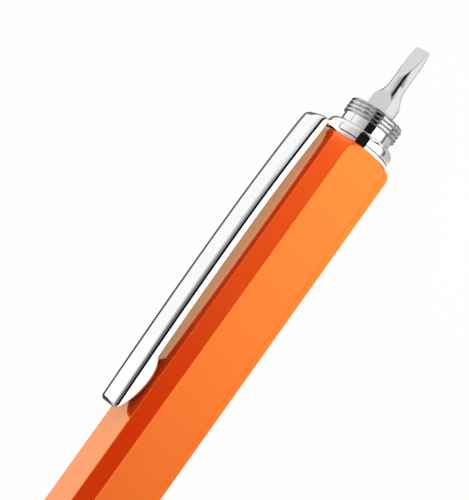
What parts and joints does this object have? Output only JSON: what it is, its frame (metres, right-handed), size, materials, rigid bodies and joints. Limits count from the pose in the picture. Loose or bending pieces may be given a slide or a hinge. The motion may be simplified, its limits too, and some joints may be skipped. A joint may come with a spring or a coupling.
{
  "type": "pocket screwdriver",
  "caption": "Pen-shaped pocket screwdriver: chamfered square barrel with a spring clip, a reversible bit in a threaded collar and a ballpoint point that a twist of the nose drives out.",
  "frame": {"origin": "on the surface that the barrel lies on, below the axis, halfway between the tip of the blade and the tip of the nose", "axes": "+X along the axis towards the bit, +Z towards the clip, away from the surface the barrel lies on"},
  "size_m": [0.1412, 0.009, 0.0119],
  "materials": {
    "orange_lacquer": "glossy orange lacquer on metal",
    "chrome": "bright chrome plating",
    "satin_steel": "satin steel",
    "nickel_steel": "plain nickel",
    "brass": "turned brass",
    "grey_plastic": "moulded",
    "white_plastic": "moulded, slippery",
    "blue_ink": "ballpoint paste",
    "black_rubber": "matt"
  },
  "bodies": {
    "body": {"barrel": "orange_lacquer", "bit_collar": "chrome", "bit_magnet": "nickel_steel", "clip_ring": "chrome", "mech_housing": "brass", "housing_plug": "grey_plastic", "nose_bush": "brass", "trim_ring": "chrome"},
    "clip": {"clip_arm": "chrome"},
    "bit": {"driver_bit": "satin_steel"},
    "nose": {"nose_cone": "chrome", "cam_sleeve": "white_plastic", "snap_ring": "nickel_steel", "drag_washer": "black_rubber"},
    "refill": {"refill_carrier": "white_plastic", "carrier_pin": "nickel_steel", "refill_tube": "nickel_steel", "refill_point": "brass", "writing_ball": "nickel_steel", "ink_column": "blue_ink"}
  },
  "joints": [
    {"name": "clip_flex", "type": "hinge", "parent": "body", "child": "clip", "pos_m": [0.05677, 0, 0.01032], "axis": [0, 1, 0], "range_deg": [0, 3.5], "stiffness_Nm_per_rad": 3},
    {"name": "bit_pull", "type": "slide", "parent": "body", "child": "bit", "axis": [1, 0, 0], "range_m": [0, 0.02]},
    {"name": "nose_twist", "type": "hinge", "parent": "body", "child": "nose", "pos_m": [-0.05958, 0, 0.0045], "axis": [1, 0, 0], "range_deg": [0, 180]},
    {"name": "refill_feed", "type": "slide", "parent": "body", "child": "refill", "axis": [-1, 0, 0], "range_m": [0, 0.0042]}
  ],
  "couplings": [
    {"joint": "nose_twist", "follows": "refill_feed", "rad_per_m": 747.99}
  ]
}
